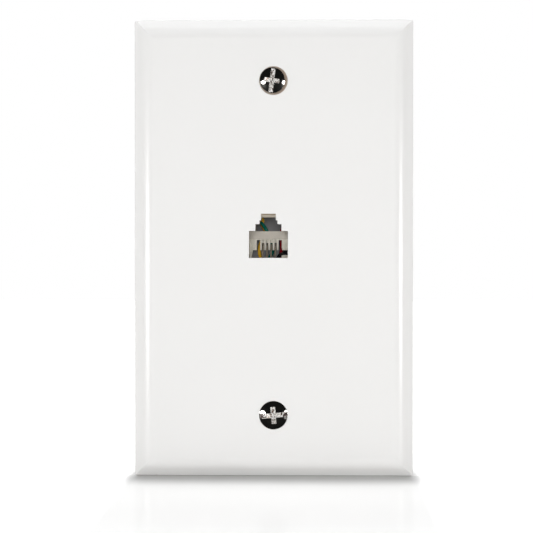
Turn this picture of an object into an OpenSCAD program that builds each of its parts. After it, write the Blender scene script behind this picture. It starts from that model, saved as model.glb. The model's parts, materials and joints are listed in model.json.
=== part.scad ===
// Flush telephone wall socket: a cover plate with a modular jack and screw terminals behind it.
// X runs to the right, Z runs up and Y runs into the wall. The plate's back rim is the plane y = 0,
// and the point halfway between the two mounting screws is x = 0, z = 0. Millimetres.

/* [Plate] */
// Width of the cover plate
plate_w = 69.85; // [64:0.05:90]
// Height of the cover plate
plate_h = 114.3; // [108:0.05:130]
// Depth of the plate from its back rim to its face
plate_depth = 5.6; // [4.8:0.1:8]
// Thickness of the face
face_t = 2.2; // [1.8:0.1:3]
// Thickness of the side walls at the rim
rim_t = 2; // [1.4:0.1:3]
// Height of the upright part of the side walls
side_h = 2.2; // [1.2:0.1:3]
// Width of the sloping edge, seen from the front
bevel_w = 3.1; // [2:0.1:5]
// Radius between the slope and the face
bevel_r = 3.9; // [0.5:0.1:5]
// Radius between the side wall and the slope
shoulder_r = 1; // [0.3:0.1:1.5]
// Radius of the plate's four corners, seen from the front
corner_r = 0.8; // [0.4:0.1:2]

/* [Mounting screws] */
// Distance between the two mounting screws
screw_spacing = 83.34; // [80:0.01:90]
// Diameter of the screw's shank
screw_d = 3.5; // [3:0.1:4]
// Diameter of the screw's plain neck inside the plate
screw_neck_d = 3; // [2.6:0.1:3.4]
// Length of the screw from the plate's face to its tip
screw_len = 19; // [12:0.5:30]
// Diameter of the screw's oval head
screw_head_d = 7.1; // [6:0.1:7.4]
// Angle of the countersunk side of the head
sink_angle = 82; // [75:1:100]
// Height of the head's dome above the plate's face
screw_dome_h = 1.1; // [0.6:0.1:1.6]
// Width of the slot and of the cross in the head
recess_w = 1.2; // [0.8:0.1:1.5]
// Length of each arm pair of the cross in the head
recess_l = 4.2; // [3:0.1:5]
// Turn of the top screw, from a level slot
top_turn = 103; // [0:1:180]
// Turn of the bottom screw, from a level slot
bottom_turn = 5; // [0:1:180]
// Space between a screw and the hole around it
screw_clear = 0.35; // [0.1:0.05:0.5]
// Space between the head and its countersink
sink_clear = 0.05; // [0.02:0.01:0.1]
// Diameter of the boss around each mounting screw
screw_boss_d = 9; // [8:0.1:12]

/* [Plug port] */
// Place of the port to the right of the plate's centre line
port_x = -1.25; // [-3:0.05:3]
// Height of the middle of the plug's body above the plate's centre
port_z = 0.9; // [-3:0.1:3]
// Width of the port for the plug's body
plug_w = 9.7; // [9.6:0.05:10.2]
// Height of the port for the plug's body
plug_h = 6.7; // [6.6:0.05:7]
// Width of the first step of the keyway
key1_w = 6.5; // [6.2:0.05:7]
// Height of the first step
key1_h = 1.7; // [1.5:0.05:2]
// Width of the second step
key2_w = 4.5; // [4.2:0.05:5]
// Height of the second step
key2_h = 0.95; // [0.8:0.05:1.2]
// Width of the notch at the top
key3_w = 3.7; // [3.4:0.05:4]
// Height of the notch at the top
key3_h = 1.65; // [1.4:0.05:2]

/* [Jack insert] */
// Thickness of the insert's side walls
insert_wall = 1.5; // [1.2:0.1:2.2]
// Thickness of the insert's floor
insert_floor = 2.4; // [2.3:0.1:3]
// Thickness of the insert's roof above the notch
insert_roof = 1.3; // [1:0.1:2]
// Space that the insert's tunnel has around the mouth of the plate
tunnel_clear = 0.12; // [0.05:0.01:0.2]
// Height of the lip that closes the top of the notch behind the face
latch_lip = 0.95; // [0.5:0.05:1.2]
// Depth of the comb behind the plate's face
comb_depth = 10; // [9:0.1:12]
// Thickness of the comb
comb_t = 1.6; // [1.4:0.1:2]
// Height of the bar above the comb's teeth
bar_h = 2; // [1.5:0.1:2.4]
// How far the bar stands in front of the teeth
bar_proud = 0.5; // [0.2:0.1:0.8]
// Height of the solid land between the slots and the bar
slot_land = 0.25; // [0.1:0.05:0.5]
// Open height below the comb
comb_gap = 1.9; // [1.5:0.1:2.2]
// Distance between neighbouring comb slots
pitch = 1.06; // [1.02:0.01:1.12]
// Width of a comb slot
slot_w = 0.6; // [0.54:0.02:0.66]
// Extra width of the two empty outer slots
outer_slot_extra = 0.25; // [0:0.05:0.3]

/* [Contacts] */
// Diameter of the contact wire
wire_d = 0.46; // [0.4:0.02:0.5]
// Radius of the wire's bend around the floor's front lip
wire_bend_r = 0.62; // [0.55:0.01:0.75]
// Slope of the wire's free arm
rest_angle = 27.5; // [24:0.5:30]
// Outer diameter of the crimp sleeves
ferrule_d = 0.94; // [0.86:0.02:1]
// Length of the crimp sleeves
ferrule_l = 3.2; // [2.4:0.1:3.4]
// Diameter of the leads over their insulation
lead_d = 0.95; // [0.8:0.05:1]
// Diameter of the leads' bare core
core_d = 0.4; // [0.3:0.02:0.44]

/* [Jack housing] */
// Thickness of the housing's walls
housing_t = 1.6; // [1.2:0.1:2.2]
// Space between the insert and the housing
fit_clear = 0.1; // [0.05:0.01:0.2]
// Depth of the wire chamber behind the insert
chamber_l = 5.2; // [4.8:0.1:8]
// Thickness of the rear cover
cover_t = 1.4; // [1:0.1:2]
// Depth of the cover's locating skirts
skirt_l = 1.5; // [1:0.1:1.8]
// How far the snap catches stand out
catch_h = 0.5; // [0.3:0.05:0.7]
// Width of the snap catches
catch_w = 4; // [3:0.1:5]
// Lower edge of the upper lead exits, above the housing's middle
exit_top_0 = 2.7; // [2.2:0.1:3.2]
// Upper edge of the upper lead exits, above the housing's middle
exit_top_1 = 6.6; // [6:0.1:7.4]
// Lower edge of the lower lead exits, below the housing's middle
exit_low_0 = 4.5; // [4.2:0.1:5.2]
// Upper edge of the lower lead exits, below the housing's middle
exit_low_1 = 2.9; // [2.4:0.1:3.2]

/* [Terminals] */
// Distance of each terminal from the port's middle, sideways
terminal_dx = 16.5; // [16:0.1:20]
// Distance of each terminal above or below the housing's middle
terminal_dz = 8.5; // [8:0.1:12]
// Height of the terminal seats behind the plate's back rim
post_top = 3.4; // [2:0.1:5]
// Diameter of the terminal posts
post_d = 7.4; // [6.8:0.1:8.4]
// Thickness of the ribs behind the plate
rib_t = 1.3; // [1:0.1:2]
// Diameter of the terminal screw's shank
terminal_screw_d = 3.4; // [3:0.1:3.6]
// Length of the terminal screw below its head
terminal_screw_l = 7; // [5:0.1:8]
// Diameter of the terminal screw's head
terminal_head_d = 6.6; // [6:0.1:7]
// Height of the terminal screw's head
terminal_head_h = 1.9; // [1.4:0.1:2.2]
// Width of the square washers
washer_w = 7; // [6.8:0.1:8]
// Thickness of the square washers
washer_t = 0.9; // [0.6:0.1:1.2]
// Thickness of the spade lugs
spade_t = 0.7; // [0.5:0.05:0.8]
// Width of the spade's fork
spade_w = 6.2; // [5.8:0.1:6.8]
// Length of the spade's crimp barrel
barrel_l = 3.4; // [3:0.1:4]
// Wall thickness of the spade's crimp barrel
barrel_t = 0.42; // [0.3:0.02:0.5]

/* [Hidden] */
$fa = 6;
$fs = 0.15;
eps = 0.01;

// The four circuits, from left to right in the comb
YELLOW = 0;
GREEN = 1;
RED = 2;
BLACK = 3;

// Plate levels along Y
face_y = -plate_depth;
face_in = face_y + face_t;

// Port and tunnel levels along Z
port_bottom = port_z - plug_h / 2;
plug_top = port_z + plug_h / 2;
key1_top = plug_top + key1_h;
key2_top = key1_top + key2_h;
key3_top = key2_top + key3_h;

// Insert
tunnel_bottom = port_bottom - tunnel_clear;
tunnel_left = port_x - plug_w / 2 - tunnel_clear;
tunnel_right = port_x + plug_w / 2 + tunnel_clear;
insert_w = plug_w + 2 * (tunnel_clear + insert_wall);
insert_z0 = tunnel_bottom - insert_floor;
insert_z1 = key3_top + insert_roof;
comb_y = face_y + comb_depth;
insert_end = comb_y + comb_t;
comb_bottom = port_bottom + comb_gap;
bar_bottom = plug_top - bar_h;
slot_top = bar_bottom - slot_land;
function slot_x(i) = port_x + (i - 2.5) * pitch;
function circuit_x(c) = slot_x(c + 1);

// Contact wire: lower run under the floor, bend around the lip, free arm into the comb
wire_play = 0.07;
lower_z = tunnel_bottom - 1.18;
bend_y = face_in + 1.9;
bend_z = lower_z + wire_bend_r;
arm_y0 = bend_y - wire_bend_r * sin(rest_angle);
arm_z0 = bend_z + wire_bend_r * cos(rest_angle);
arm_y1 = comb_y + 1;
arm_l = (arm_y1 - arm_y0) / cos(rest_angle);
tip_z = arm_z0 + arm_l * sin(rest_angle);
ferrule_y1 = insert_end - 0.1;
ferrule_y0 = ferrule_y1 - ferrule_l;
wire_end = ferrule_y0 + 0.45 * ferrule_l;
core_end = ferrule_y1 - 0.4 * ferrule_l;
bore_play = 0.03;
band_l = circuit_x(YELLOW) - wire_d / 2 - 0.15;
band_r = circuit_x(BLACK) + wire_d / 2 + 0.15;

// Housing
sleeve_w = insert_w + 2 * fit_clear;
sleeve_z0 = insert_z0 - fit_clear;
sleeve_z1 = insert_z1 + fit_clear;
housing_x0 = port_x - sleeve_w / 2 - housing_t;
housing_x1 = port_x + sleeve_w / 2 + housing_t;
housing_z0 = sleeve_z0 - housing_t;
housing_z1 = sleeve_z1 + housing_t;
housing_mid = (housing_z0 + housing_z1) / 2;
housing_end = insert_end + chamber_l;
exit_y = housing_end - 1.2;
exit_play = 0.25;
exit_depth = exit_y - lead_d / 2 - exit_play;
exit_top = [housing_mid + exit_top_0, housing_mid + exit_top_1];
exit_low = [housing_mid - exit_low_0, housing_mid - exit_low_1];
skirt_w = 2 * catch_w;
skirt_t = 1.1;
catch_l = 1.1;
catch_gap = 0.1;

// Terminals: yellow and green on the left, red and black on the right
function side(c) = c == YELLOW || c == GREEN ? -1 : 1;
function level(c) = c == YELLOW || c == RED ? 1 : -1;
function terminal(c) = [port_x + side(c) * terminal_dx, housing_mid + level(c) * terminal_dz];
spade_turn = [-75, 50, -105, 130];
barrel_in = washer_w / 2 + 0.4;
barrel_d = lead_d + 2 * (0.03 + barrel_t);
barrel_y = post_top + barrel_d / 2;
lead_in = 1.4;
function barrel_point(c, r) = let (t = terminal(c), a = spade_turn[c])
    [t[0] + r * cos(a), barrel_y, t[1] + r * sin(a)];

// Lead routes between the ferrule and the spade, chosen by hand
route_yellow = [[-2.9, 7.1, -3.7], [-3.7, 8.3, -2.2], [-3.9, 8.4, 0], [-3.3, 9.3, 1.9], [-2.2, 9.9, 3.6],
    [-1.9, 10, 4.8], [-2.4, 10, 5.9], [-3, 9.9, 7], [-4.2, 9.9, 8.2], [-7.6, 10, 8.2], [-9.6, 10, 8.2], [-11.4, 9.8, 7.6],
    [-13, 9, 5.2], [-14.2, 7, 2.4], [-15.3, 5.2, 1.6]];
route_green = [[-1.7, 7, -3.4], [-1.2, 7.6, -2.2], [-0.4, 8.1, -0.7], [-1, 8.2, 2], [-2, 8, 4.4],
    [-3.5, 8.2, 6.5], [-5.2, 9.6, 6.4], [-7.6, 10, 6.1], [-9.5, 10, 6.1], [-10.6, 9, 4.8],
    [-11.4, 6.8, 2.4]];
route_red = [[-0.4, 7.6, -3.9], [0.9, 9.3, -3], [1.7, 9.6, -0.8], [1.7, 9.1, 1.6], [1.8, 8.9, 4.4],
    [2.8, 9.6, 6.6], [5, 10, 7.2], [7.2, 10, 7.2], [9, 9.8, 6.6], [10.6, 9, 4.6],
    [11.7, 7, 2.2], [12.8, 5.2, 1.6]];
route_black = [[0.4, 6.9, -3.5], [1.2, 7.5, -2], [2.4, 8, -1.3], [3.7, 9, -1.3], [5, 10, -1.3],
    [7, 10, -1.3], [8.2, 9.4, -0.7], [9, 7.8, 0.6]];
bend_steps = 10;
lead_step = 3;
lead_sides = 8;

function unit(v) = v / norm(v);

// Plain 2D helpers

function cut_points(a, b, c, r) =
    let (u = unit(a - b), v = unit(c - b), half = acos(u * v) / 2, t = r / tan(half)) [b + u * t, b + v * t];

function round_centre(a, b, c, r) =
    let (u = unit(a - b), v = unit(c - b), half = acos(u * v) / 2) b + unit(u + v) * r / sin(half);

// A convex outline whose corners have the given radii
module rounded_outline(pts, radii) {
    n = len(pts);
    polygon([for (i = [0 : n - 1]) each radii[i] > 0
        ? cut_points(pts[(i + n - 1) % n], pts[i], pts[(i + 1) % n], radii[i]) : [pts[i]]]);
    for (i = [0 : n - 1])
        if (radii[i] > 0)
            translate(round_centre(pts[(i + n - 1) % n], pts[i], pts[(i + 1) % n], radii[i])) circle(radii[i]);
}

module box2(x0, x1, z0, z1) translate([x0, z0]) square([x1 - x0, z1 - z0]);

module rounded_box2(x0, x1, z0, z1, r) rounded_outline([[x0, z0], [x1, z0], [x1, z1], [x0, z1]], [r, r, r, r]);

// A shape drawn in X and Z, as thick as the stretch from y0 to y1
module slab(y0, y1) translate([0, y1, 0]) rotate([90, 0, 0]) linear_extrude(y1 - y0) children();

// A round bar along Y, with diameter d0 at y0 and d1 at y1
module rod(x, z, y0, y1, d0, d1) translate([x, y1, z]) rotate([90, 0, 0]) cylinder(h = y1 - y0, d1 = d1, d2 = d0);

// Half section of the plate's rim, slope and face
module edge_profile(half, depth, side, slope, r_side, r_face, lift)
    rounded_outline([[-half, lift], [-half, -side], [-(half - slope), -depth],
        [half - slope, -depth], [half, -side], [half, lift]], [0, r_side, r_face, r_face, r_side, 0]);

module plate_form(inset, lift) {
    w = plate_w / 2 - inset;
    h = plate_h / 2 - inset;
    depth = inset > 0 ? -face_in : plate_depth;
    side = inset > 0 ? side_h - 0.6 : side_h;
    slope = inset > 0 ? bevel_w - 0.8 : bevel_w;
    r_side = inset > 0 ? 0.3 : shoulder_r;
    r_face = inset > 0 ? 0.5 : bevel_r;
    intersection() {
        linear_extrude(plate_h + 2, center = true) edge_profile(w, depth, side, slope, r_side, r_face, lift);
        rotate([0, -90, 0]) linear_extrude(plate_w + 2, center = true)
            edge_profile(h, depth, side, slope, r_side, r_face, lift);
        slab(-plate_depth - 1, lift + 1) rounded_box2(-w, w, -h, h, corner_r);
    }
}

module port_outline(grow, lip) {
    translate([port_x, 0]) {
        box2(-plug_w / 2 - grow, plug_w / 2 + grow, port_bottom - grow, plug_top + grow);
        box2(-key1_w / 2 - grow, key1_w / 2 + grow, port_bottom, key1_top + grow);
        box2(-key2_w / 2 - grow, key2_w / 2 + grow, port_bottom, key2_top + grow);
        box2(-key3_w / 2 - grow, key3_w / 2 + grow, port_bottom, key3_top + grow - lip);
    }
}

module housing_block() {
    slab(face_in - 0.5, housing_end) rounded_box2(housing_x0, housing_x1, housing_z0, housing_z1, 1);
}

module terminal_post(c) {
    t = terminal(c);
    rod(t[0], t[1], face_in - 0.5, post_top, post_d, post_d);
    slab(face_in - 0.5, 1) box2(min(t[0], port_x), max(t[0], port_x), t[1] - rib_t / 2, t[1] + rib_t / 2);
}

module screw_boss(z) {
    rod(0, z, face_in - 0.5, -0.4, screw_boss_d, screw_boss_d);
    slab(face_in - 0.5, -1.2) box2(-rib_t / 2, rib_t / 2, min(z, sign(z) * (plate_h / 2 - rim_t)),
        max(z, sign(z) * (plate_h / 2 - rim_t)));
}

module screw_hole(z) {
    hole_d = screw_d + 2 * screw_clear;
    rod(0, z, face_y - 1, 1, hole_d, hole_d);
    sink_d = screw_head_d + 2 * sink_clear;
    sink_l = (sink_d - hole_d) / 2 / tan(sink_angle / 2);
    rod(0, z, face_y, face_y + sink_l, sink_d, hole_d);
    rod(0, z, face_y - 1, face_y + eps, sink_d, sink_d);
}

// Windows in the housing for the catches of the insert and of the cover
module catch_windows() {
    slab_y0 = insert_end - catch_l - catch_gap;
    window = catch_w + 2 * catch_gap;
    translate([port_x - sleeve_w, slab_y0, housing_mid - window / 2])
        cube([2 * sleeve_w, catch_l + 2 * catch_gap, window]);
    translate([port_x - window / 2, housing_end - skirt_l - catch_gap, housing_z0 - 1])
        cube([window, catch_l + 2 * catch_gap, housing_z1 - housing_z0 + 2]);
}

module wall_plate() color([0.95, 0.95, 0.94]) {
    difference() {
        union() {
            difference() {
                plate_form(0, 0);
                plate_form(rim_t, 1);
            }
            for (s = [-1, 1]) screw_boss(s * screw_spacing / 2);
            for (c = [YELLOW, GREEN, RED, BLACK]) terminal_post(c);
            housing_block();
        }
        slab(face_y - 1, face_in + eps) port_outline(0, 0);
        slab(face_in, housing_end + 1) box2(port_x - sleeve_w / 2, port_x + sleeve_w / 2, sleeve_z0, sleeve_z1);
        for (e = [exit_top, exit_low])
            slab(exit_depth, housing_end + 1) box2(housing_x0 - 1, housing_x1 + 1, e[0], e[1]);
        catch_windows();
        for (s = [-1, 1]) screw_hole(s * screw_spacing / 2);
        for (c = [YELLOW, GREEN, RED, BLACK])
            let (t = terminal(c), d = terminal_screw_d + 0.1, y1 = post_top + spade_t + washer_t)
                rod(t[0], t[1], y1 - terminal_screw_l - 0.5, post_top + 1, d, d);
    }
}

module comb_outline() {
    box2(tunnel_left - 0.5, tunnel_right + 0.5, comb_bottom, plug_top);
    polygon([[tunnel_left - 0.5, comb_bottom + eps], [tunnel_left + 0.85, comb_bottom + eps],
        [tunnel_left + 0.4, tunnel_bottom - eps], [tunnel_left - 0.5, tunnel_bottom - eps]]);
    box2(port_x + 3.1, tunnel_right + 0.5, tunnel_bottom - eps, tunnel_bottom + 0.75);
}

module comb_slots() {
    for (i = [0 : 5]) {
        out = i == 0 || i == 5 ? outer_slot_extra : 0;
        x0 = slot_x(i) - slot_w / 2 - (i == 0 ? out : 0);
        x1 = slot_x(i) + slot_w / 2 + (i == 5 ? out : 0);
        slab(comb_y - 1, insert_end + 1) box2(x0, x1, comb_bottom - 1, slot_top);
    }
}

module insert_catch(s)
    translate([port_x + s * insert_w / 2, insert_end - catch_l, housing_mid - catch_w / 2])
        linear_extrude(catch_w) polygon([[-s * 0.5, 0], [0, 0], [s * catch_h, catch_l], [-s * 0.5, catch_l]]);

module jack_insert() color([0.72, 0.7, 0.65]) {
    difference() {
        union() {
            difference() {
                slab(face_in, insert_end)
                    rounded_box2(port_x - insert_w / 2, port_x + insert_w / 2, insert_z0, insert_z1, 0.5);
                slab(face_in - 1, insert_end + 1) port_outline(tunnel_clear, latch_lip);
            }
            difference() {
                slab(comb_y, insert_end) comb_outline();
                comb_slots();
            }
            slab(comb_y - bar_proud, insert_end) box2(tunnel_left - 0.5, tunnel_right + 0.5, bar_bottom, plug_top);
            slab(comb_y + 1.2, insert_end)
                box2(slot_x(1) - slot_w, slot_x(4) + slot_w, tip_z + 0.12, slot_top + eps);
            for (s = [-1, 1]) insert_catch(s);
        }
        // recess in front of the lip, and the lower top of the lip itself
        translate([band_l, face_in - 1, lower_z - wire_d]) cube([band_r - band_l, 2.65, 4]);
        translate([band_l, face_in, bend_z + 0.25]) cube([band_r - band_l, 2.4, 4]);
        // grooves for the lower runs, and the pocket for the crimp sleeves
        for (c = [YELLOW, GREEN, RED, BLACK])
            translate([circuit_x(c) - wire_d / 2 - wire_play, face_in, insert_z0 - 1])
                cube([wire_d + 2 * wire_play, insert_end, lower_z + wire_d / 2 + 0.14 - insert_z0 + 1]);
        translate([circuit_x(YELLOW) - ferrule_d / 2 - 0.08, ferrule_y0 - 0.3, insert_z0 - 1])
            cube([3 * pitch + ferrule_d + 0.16, insert_end, lower_z + ferrule_d / 2 + 0.08 - insert_z0 + 1]);
    }
}

module cover_skirt(s) {
    z0 = s > 0 ? sleeve_z1 - fit_clear - skirt_t : sleeve_z0 + fit_clear;
    edge = s > 0 ? sleeve_z1 - fit_clear : sleeve_z0 + fit_clear;
    slab(housing_end - skirt_l, housing_end + eps)
        box2(port_x - skirt_w / 2, port_x + skirt_w / 2, z0, z0 + skirt_t);
    translate([port_x - catch_w / 2, 0, 0]) rotate([90, 0, 90]) linear_extrude(catch_w)
        polygon([[housing_end - skirt_l, edge - s * 0.3], [housing_end - skirt_l, edge],
            [housing_end - skirt_l + catch_l, edge + s * catch_h], [housing_end - skirt_l + catch_l, edge - s * 0.3]]);
}

module rear_cover() color([0.42, 0.42, 0.43]) {
    slab(housing_end, housing_end + cover_t) rounded_box2(housing_x0, housing_x1, housing_z0, housing_z1, 1);
    for (s = [-1, 1]) cover_skirt(s);
}

// The wire's centre line: lower run, bend around the lip, straight arm
function wire_line(x) = concat(
    [[x, wire_end, lower_z]],
    [for (k = [0 : bend_steps]) let (a = 270 - (180 - rest_angle) * k / bend_steps)
        [x, bend_y + wire_bend_r * cos(a), bend_z + wire_bend_r * sin(a)]],
    [[x, arm_y1, tip_z]]);

module contact(c) color([0.78, 0.66, 0.4]) tube(wire_line(circuit_x(c)), wire_d, 12);

module ferrule(c) color([0.75, 0.73, 0.68]) {
    d = wire_d + 2 * bore_play;
    difference() {
        rod(circuit_x(c), lower_z, ferrule_y0, ferrule_y1, ferrule_d, ferrule_d);
        rod(circuit_x(c), lower_z, ferrule_y0 - 1, ferrule_y1 + 1, d, d);
    }
}

function along(a, b, c, d, t) =
    0.5 * (2 * b + (c - a) * t + (2 * a - 5 * b + 4 * c - d) * t * t + (3 * b - a - 3 * c + d) * t * t * t);

// The two end stretches stay straight, and the rest is a smooth curve through its points
function smooth(p) = let (n = len(p) - 1)
    concat([p[0]], [for (i = [1 : n - 2]) for (j = [0 : lead_step - 1]) along(p[i - 1], p[i], p[i + 1], p[i + 2], j / lead_step)],
        [p[n - 1], p[n]]);

function directions(q) = let (n = len(q) - 1)
    [for (i = [0 : n]) unit(q[min(i + 1, n)] - q[max(i - 1, 0)])];

// Ring axes that don't twist along the curve
function across(t) = [for (i = 0, a = unit(cross(t[0], [1, 0, 0])); i < len(t);
    i = i + 1, a = i < len(t) ? unit(a - (a * t[i]) * t[i]) : a) a];

module tube(q, d, sides) {
    t = directions(q);
    a = across(t);
    n = len(q);
    rings = [for (i = [0 : n - 1]) let (b = cross(t[i], a[i]))
        for (k = [0 : sides - 1]) q[i] + d / 2 * (a[i] * cos(360 * k / sides) + b * sin(360 * k / sides))];
    polyhedron(rings, concat(
        [[for (k = [0 : sides - 1]) k]],
        [for (i = [0 : n - 2]) for (k = [0 : sides - 1]) let (m = (k + 1) % sides)
            [i * sides + k, (i + 1) * sides + k, (i + 1) * sides + m, i * sides + m]],
        [[for (k = [sides - 1 : -1 : 0]) (n - 1) * sides + k]]));
}

module lead(c, route) {
    start = [circuit_x(c), ferrule_y1, lower_z];
    tube(smooth(concat([start, start + [0, 0.5, 0]], route,
        [barrel_point(c, barrel_in + barrel_l + 0.3), barrel_point(c, barrel_in + barrel_l - lead_in)])),
        lead_d, lead_sides);
    rod(start[0], start[2], core_end, ferrule_y1 + 0.2, core_d, core_d);
}

// A fork lug around the origin, with its barrel along +X
module spade_shape() {
    slot_d = terminal_screw_d + 0.4;
    difference() {
        slab(post_top, post_top + spade_t) difference() {
            union() {
                circle(d = spade_w);
                box2(-spade_w / 2 - 0.5, 0, -spade_w / 2, spade_w / 2);
                box2(0, barrel_in + 0.4, -barrel_d / 2, barrel_d / 2);
            }
            circle(d = slot_d);
            box2(-spade_w, 0, -slot_d / 2, slot_d / 2);
        }
        translate([barrel_in, barrel_y, 0]) rotate([0, 90, 0]) cylinder(d = barrel_d, h = 2);
    }
    translate([barrel_in, barrel_y, 0]) rotate([0, 90, 0]) difference() {
        cylinder(d = barrel_d, h = barrel_l);
        translate([0, 0, 0.6]) cylinder(d = lead_d + 0.06, h = barrel_l);
    }
}

module spade(c) color([0.8, 0.8, 0.78])
    translate([terminal(c)[0], 0, terminal(c)[1]]) rotate([0, -spade_turn[c], 0]) spade_shape();

module terminal_washer(c) color([0.8, 0.7, 0.42]) let (t = terminal(c), y = post_top + spade_t)
    slab(y, y + washer_t) translate(t) rotate(spade_turn[c]) difference() {
        rounded_box2(-washer_w / 2, washer_w / 2, -washer_w / 2, washer_w / 2, 0.6);
        circle(d = terminal_screw_d + 0.3);
    }

module terminal_screw(c) color([0.8, 0.7, 0.42]) let (t = terminal(c), y = post_top + spade_t + washer_t) {
    rod(t[0], t[1], y - terminal_screw_l, y + 0.2, terminal_screw_d, terminal_screw_d);
    difference() {
        union() {
            rod(t[0], t[1], y, y + 0.6 * terminal_head_h, terminal_head_d, terminal_head_d);
            translate([t[0], y + 0.6 * terminal_head_h, t[1]]) rotate([-90, 0, 0])
                dome(terminal_head_d / 2, 0.4 * terminal_head_h);
        }
        translate([t[0], y + terminal_head_h, t[1]]) rotate([0, 45, 0])
            cube([terminal_head_d + 1, 2.2, 1.1], center = true);
    }
}

// A spherical cap of the given rim radius and height, standing on z = 0
module dome(r, h) {
    ball = (r * r + h * h) / (2 * h);
    rotate_extrude() intersection() {
        translate([0, h - ball]) circle(ball);
        square([r, h]);
    }
}

// One pair of tapering cross arms, along X, cut down from z = 0
module cross_arm()
    translate([0, recess_w / 2, 0]) rotate([90, 0, 0]) linear_extrude(recess_w)
        polygon([[-recess_l / 2, 1], [recess_l / 2, 1], [recess_l / 2, -0.9], [0.5, -2.1], [-0.5, -2.1],
            [-recess_l / 2, -0.9]]);

// An oval-head screw whose axis is Z, with the plate's face at z = 0 and its head above
module oval_screw(turn) {
    cone_l = (screw_head_d - screw_neck_d) / 2 / tan(sink_angle / 2);
    neck_end = plate_depth - 0.1;
    difference() {
        union() {
            translate([0, 0, -cone_l]) cylinder(h = cone_l, d1 = screw_neck_d, d2 = screw_head_d);
            dome(screw_head_d / 2, screw_dome_h);
            translate([0, 0, -neck_end - 0.2]) cylinder(h = neck_end - cone_l + 0.4, d = screw_neck_d);
            translate([0, 0, -neck_end]) cylinder(h = (screw_d - screw_neck_d) / 2, d1 = screw_d, d2 = screw_neck_d);
            translate([0, 0, -screw_len + 0.6]) cylinder(h = screw_len - 0.6 - neck_end, d = screw_d);
            translate([0, 0, -screw_len]) cylinder(h = 0.6, d1 = screw_d - 1.1, d2 = screw_d);
        }
        rotate([0, 0, turn]) {
            translate([-screw_head_d, -recess_w / 2, 0]) cube([2 * screw_head_d, recess_w, screw_dome_h + 1]);
            for (a = [0, 90]) rotate([0, 0, a]) translate([0, 0, screw_dome_h]) cross_arm();
        }
    }
}

module mounting_screw(z, turn) color([0.8, 0.79, 0.76])
    translate([0, face_y, z]) rotate([90, 0, 0]) oval_screw(turn);

wall_plate();
jack_insert();
rear_cover();
contact(YELLOW);  // contact_yellow
contact(GREEN);  // contact_green
contact(RED);  // contact_red
contact(BLACK);  // contact_black
ferrule(YELLOW);  // ferrule_yellow
ferrule(GREEN);  // ferrule_green
ferrule(RED);  // ferrule_red
ferrule(BLACK);  // ferrule_black
color([0.95, 0.75, 0.15]) lead(YELLOW, route_yellow);  // lead_yellow
color([0.1, 0.5, 0.4]) lead(GREEN, route_green);  // lead_green
color([0.65, 0.08, 0.1]) lead(RED, route_red);  // lead_red
color([0.08, 0.08, 0.08]) lead(BLACK, route_black);  // lead_black
spade(YELLOW);  // spade_yellow
spade(GREEN);  // spade_green
spade(RED);  // spade_red
spade(BLACK);  // spade_black
terminal_washer(YELLOW);  // terminal_washer_yellow
terminal_washer(GREEN);  // terminal_washer_green
terminal_washer(RED);  // terminal_washer_red
terminal_washer(BLACK);  // terminal_washer_black
terminal_screw(YELLOW);  // terminal_screw_yellow
terminal_screw(GREEN);  // terminal_screw_green
terminal_screw(RED);  // terminal_screw_red
terminal_screw(BLACK);  // terminal_screw_black
mounting_screw(screw_spacing / 2, top_turn);  // mounting_screw_top
mounting_screw(-screw_spacing / 2, bottom_turn);  // mounting_screw_bottom
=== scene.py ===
# %% [markdown]
# # Telephone wall socket
#
# The object is a white cover plate for a wall box, held by two nickel screws, with one small jack in its
# middle. Behind the plate sit the jack's housing, four coloured leads and four screw terminals. The CAD model
# already has the right shapes, so this lesson loads it as a fixed frame and dresses every part in a finish of
# its own. It remodels only the pieces whose surface needs more than the CAD gives: the screws' threads and the
# round wires.

# %% Load the frame
import bpy
import json
import math
from mathutils import Euler, Matrix, Vector

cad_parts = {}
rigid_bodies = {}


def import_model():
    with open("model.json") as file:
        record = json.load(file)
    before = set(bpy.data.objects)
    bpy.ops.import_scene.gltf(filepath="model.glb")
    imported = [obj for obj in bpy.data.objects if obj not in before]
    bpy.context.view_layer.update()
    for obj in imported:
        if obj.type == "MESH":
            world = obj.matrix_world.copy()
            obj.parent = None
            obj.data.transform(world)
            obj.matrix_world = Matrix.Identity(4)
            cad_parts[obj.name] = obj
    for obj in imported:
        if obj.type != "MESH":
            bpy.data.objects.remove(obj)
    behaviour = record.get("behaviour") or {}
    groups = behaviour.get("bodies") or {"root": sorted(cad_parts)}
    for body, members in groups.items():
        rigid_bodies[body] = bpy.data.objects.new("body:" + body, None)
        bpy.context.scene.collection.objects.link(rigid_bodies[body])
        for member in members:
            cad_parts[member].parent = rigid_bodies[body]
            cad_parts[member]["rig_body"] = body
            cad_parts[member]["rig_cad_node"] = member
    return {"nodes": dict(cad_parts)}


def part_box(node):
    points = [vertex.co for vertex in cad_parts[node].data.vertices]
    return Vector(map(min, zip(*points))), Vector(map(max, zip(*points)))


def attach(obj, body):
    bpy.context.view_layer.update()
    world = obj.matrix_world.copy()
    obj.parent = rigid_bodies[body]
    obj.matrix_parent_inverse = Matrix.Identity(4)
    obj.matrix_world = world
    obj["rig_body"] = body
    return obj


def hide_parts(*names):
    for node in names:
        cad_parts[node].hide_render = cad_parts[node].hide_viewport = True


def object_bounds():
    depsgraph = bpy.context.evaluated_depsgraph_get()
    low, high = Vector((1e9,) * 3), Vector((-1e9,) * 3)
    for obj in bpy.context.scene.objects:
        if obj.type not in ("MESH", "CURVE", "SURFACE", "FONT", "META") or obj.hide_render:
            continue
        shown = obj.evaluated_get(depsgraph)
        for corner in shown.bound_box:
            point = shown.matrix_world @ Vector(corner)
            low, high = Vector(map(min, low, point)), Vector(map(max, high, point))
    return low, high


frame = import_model()
cad_box = [list(corner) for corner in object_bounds()]
MM = 0.001
print("nodes:", len(frame["nodes"]))
print("box in mm:", [[round(v / MM, 2) for v in corner] for corner in cad_box])

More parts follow.
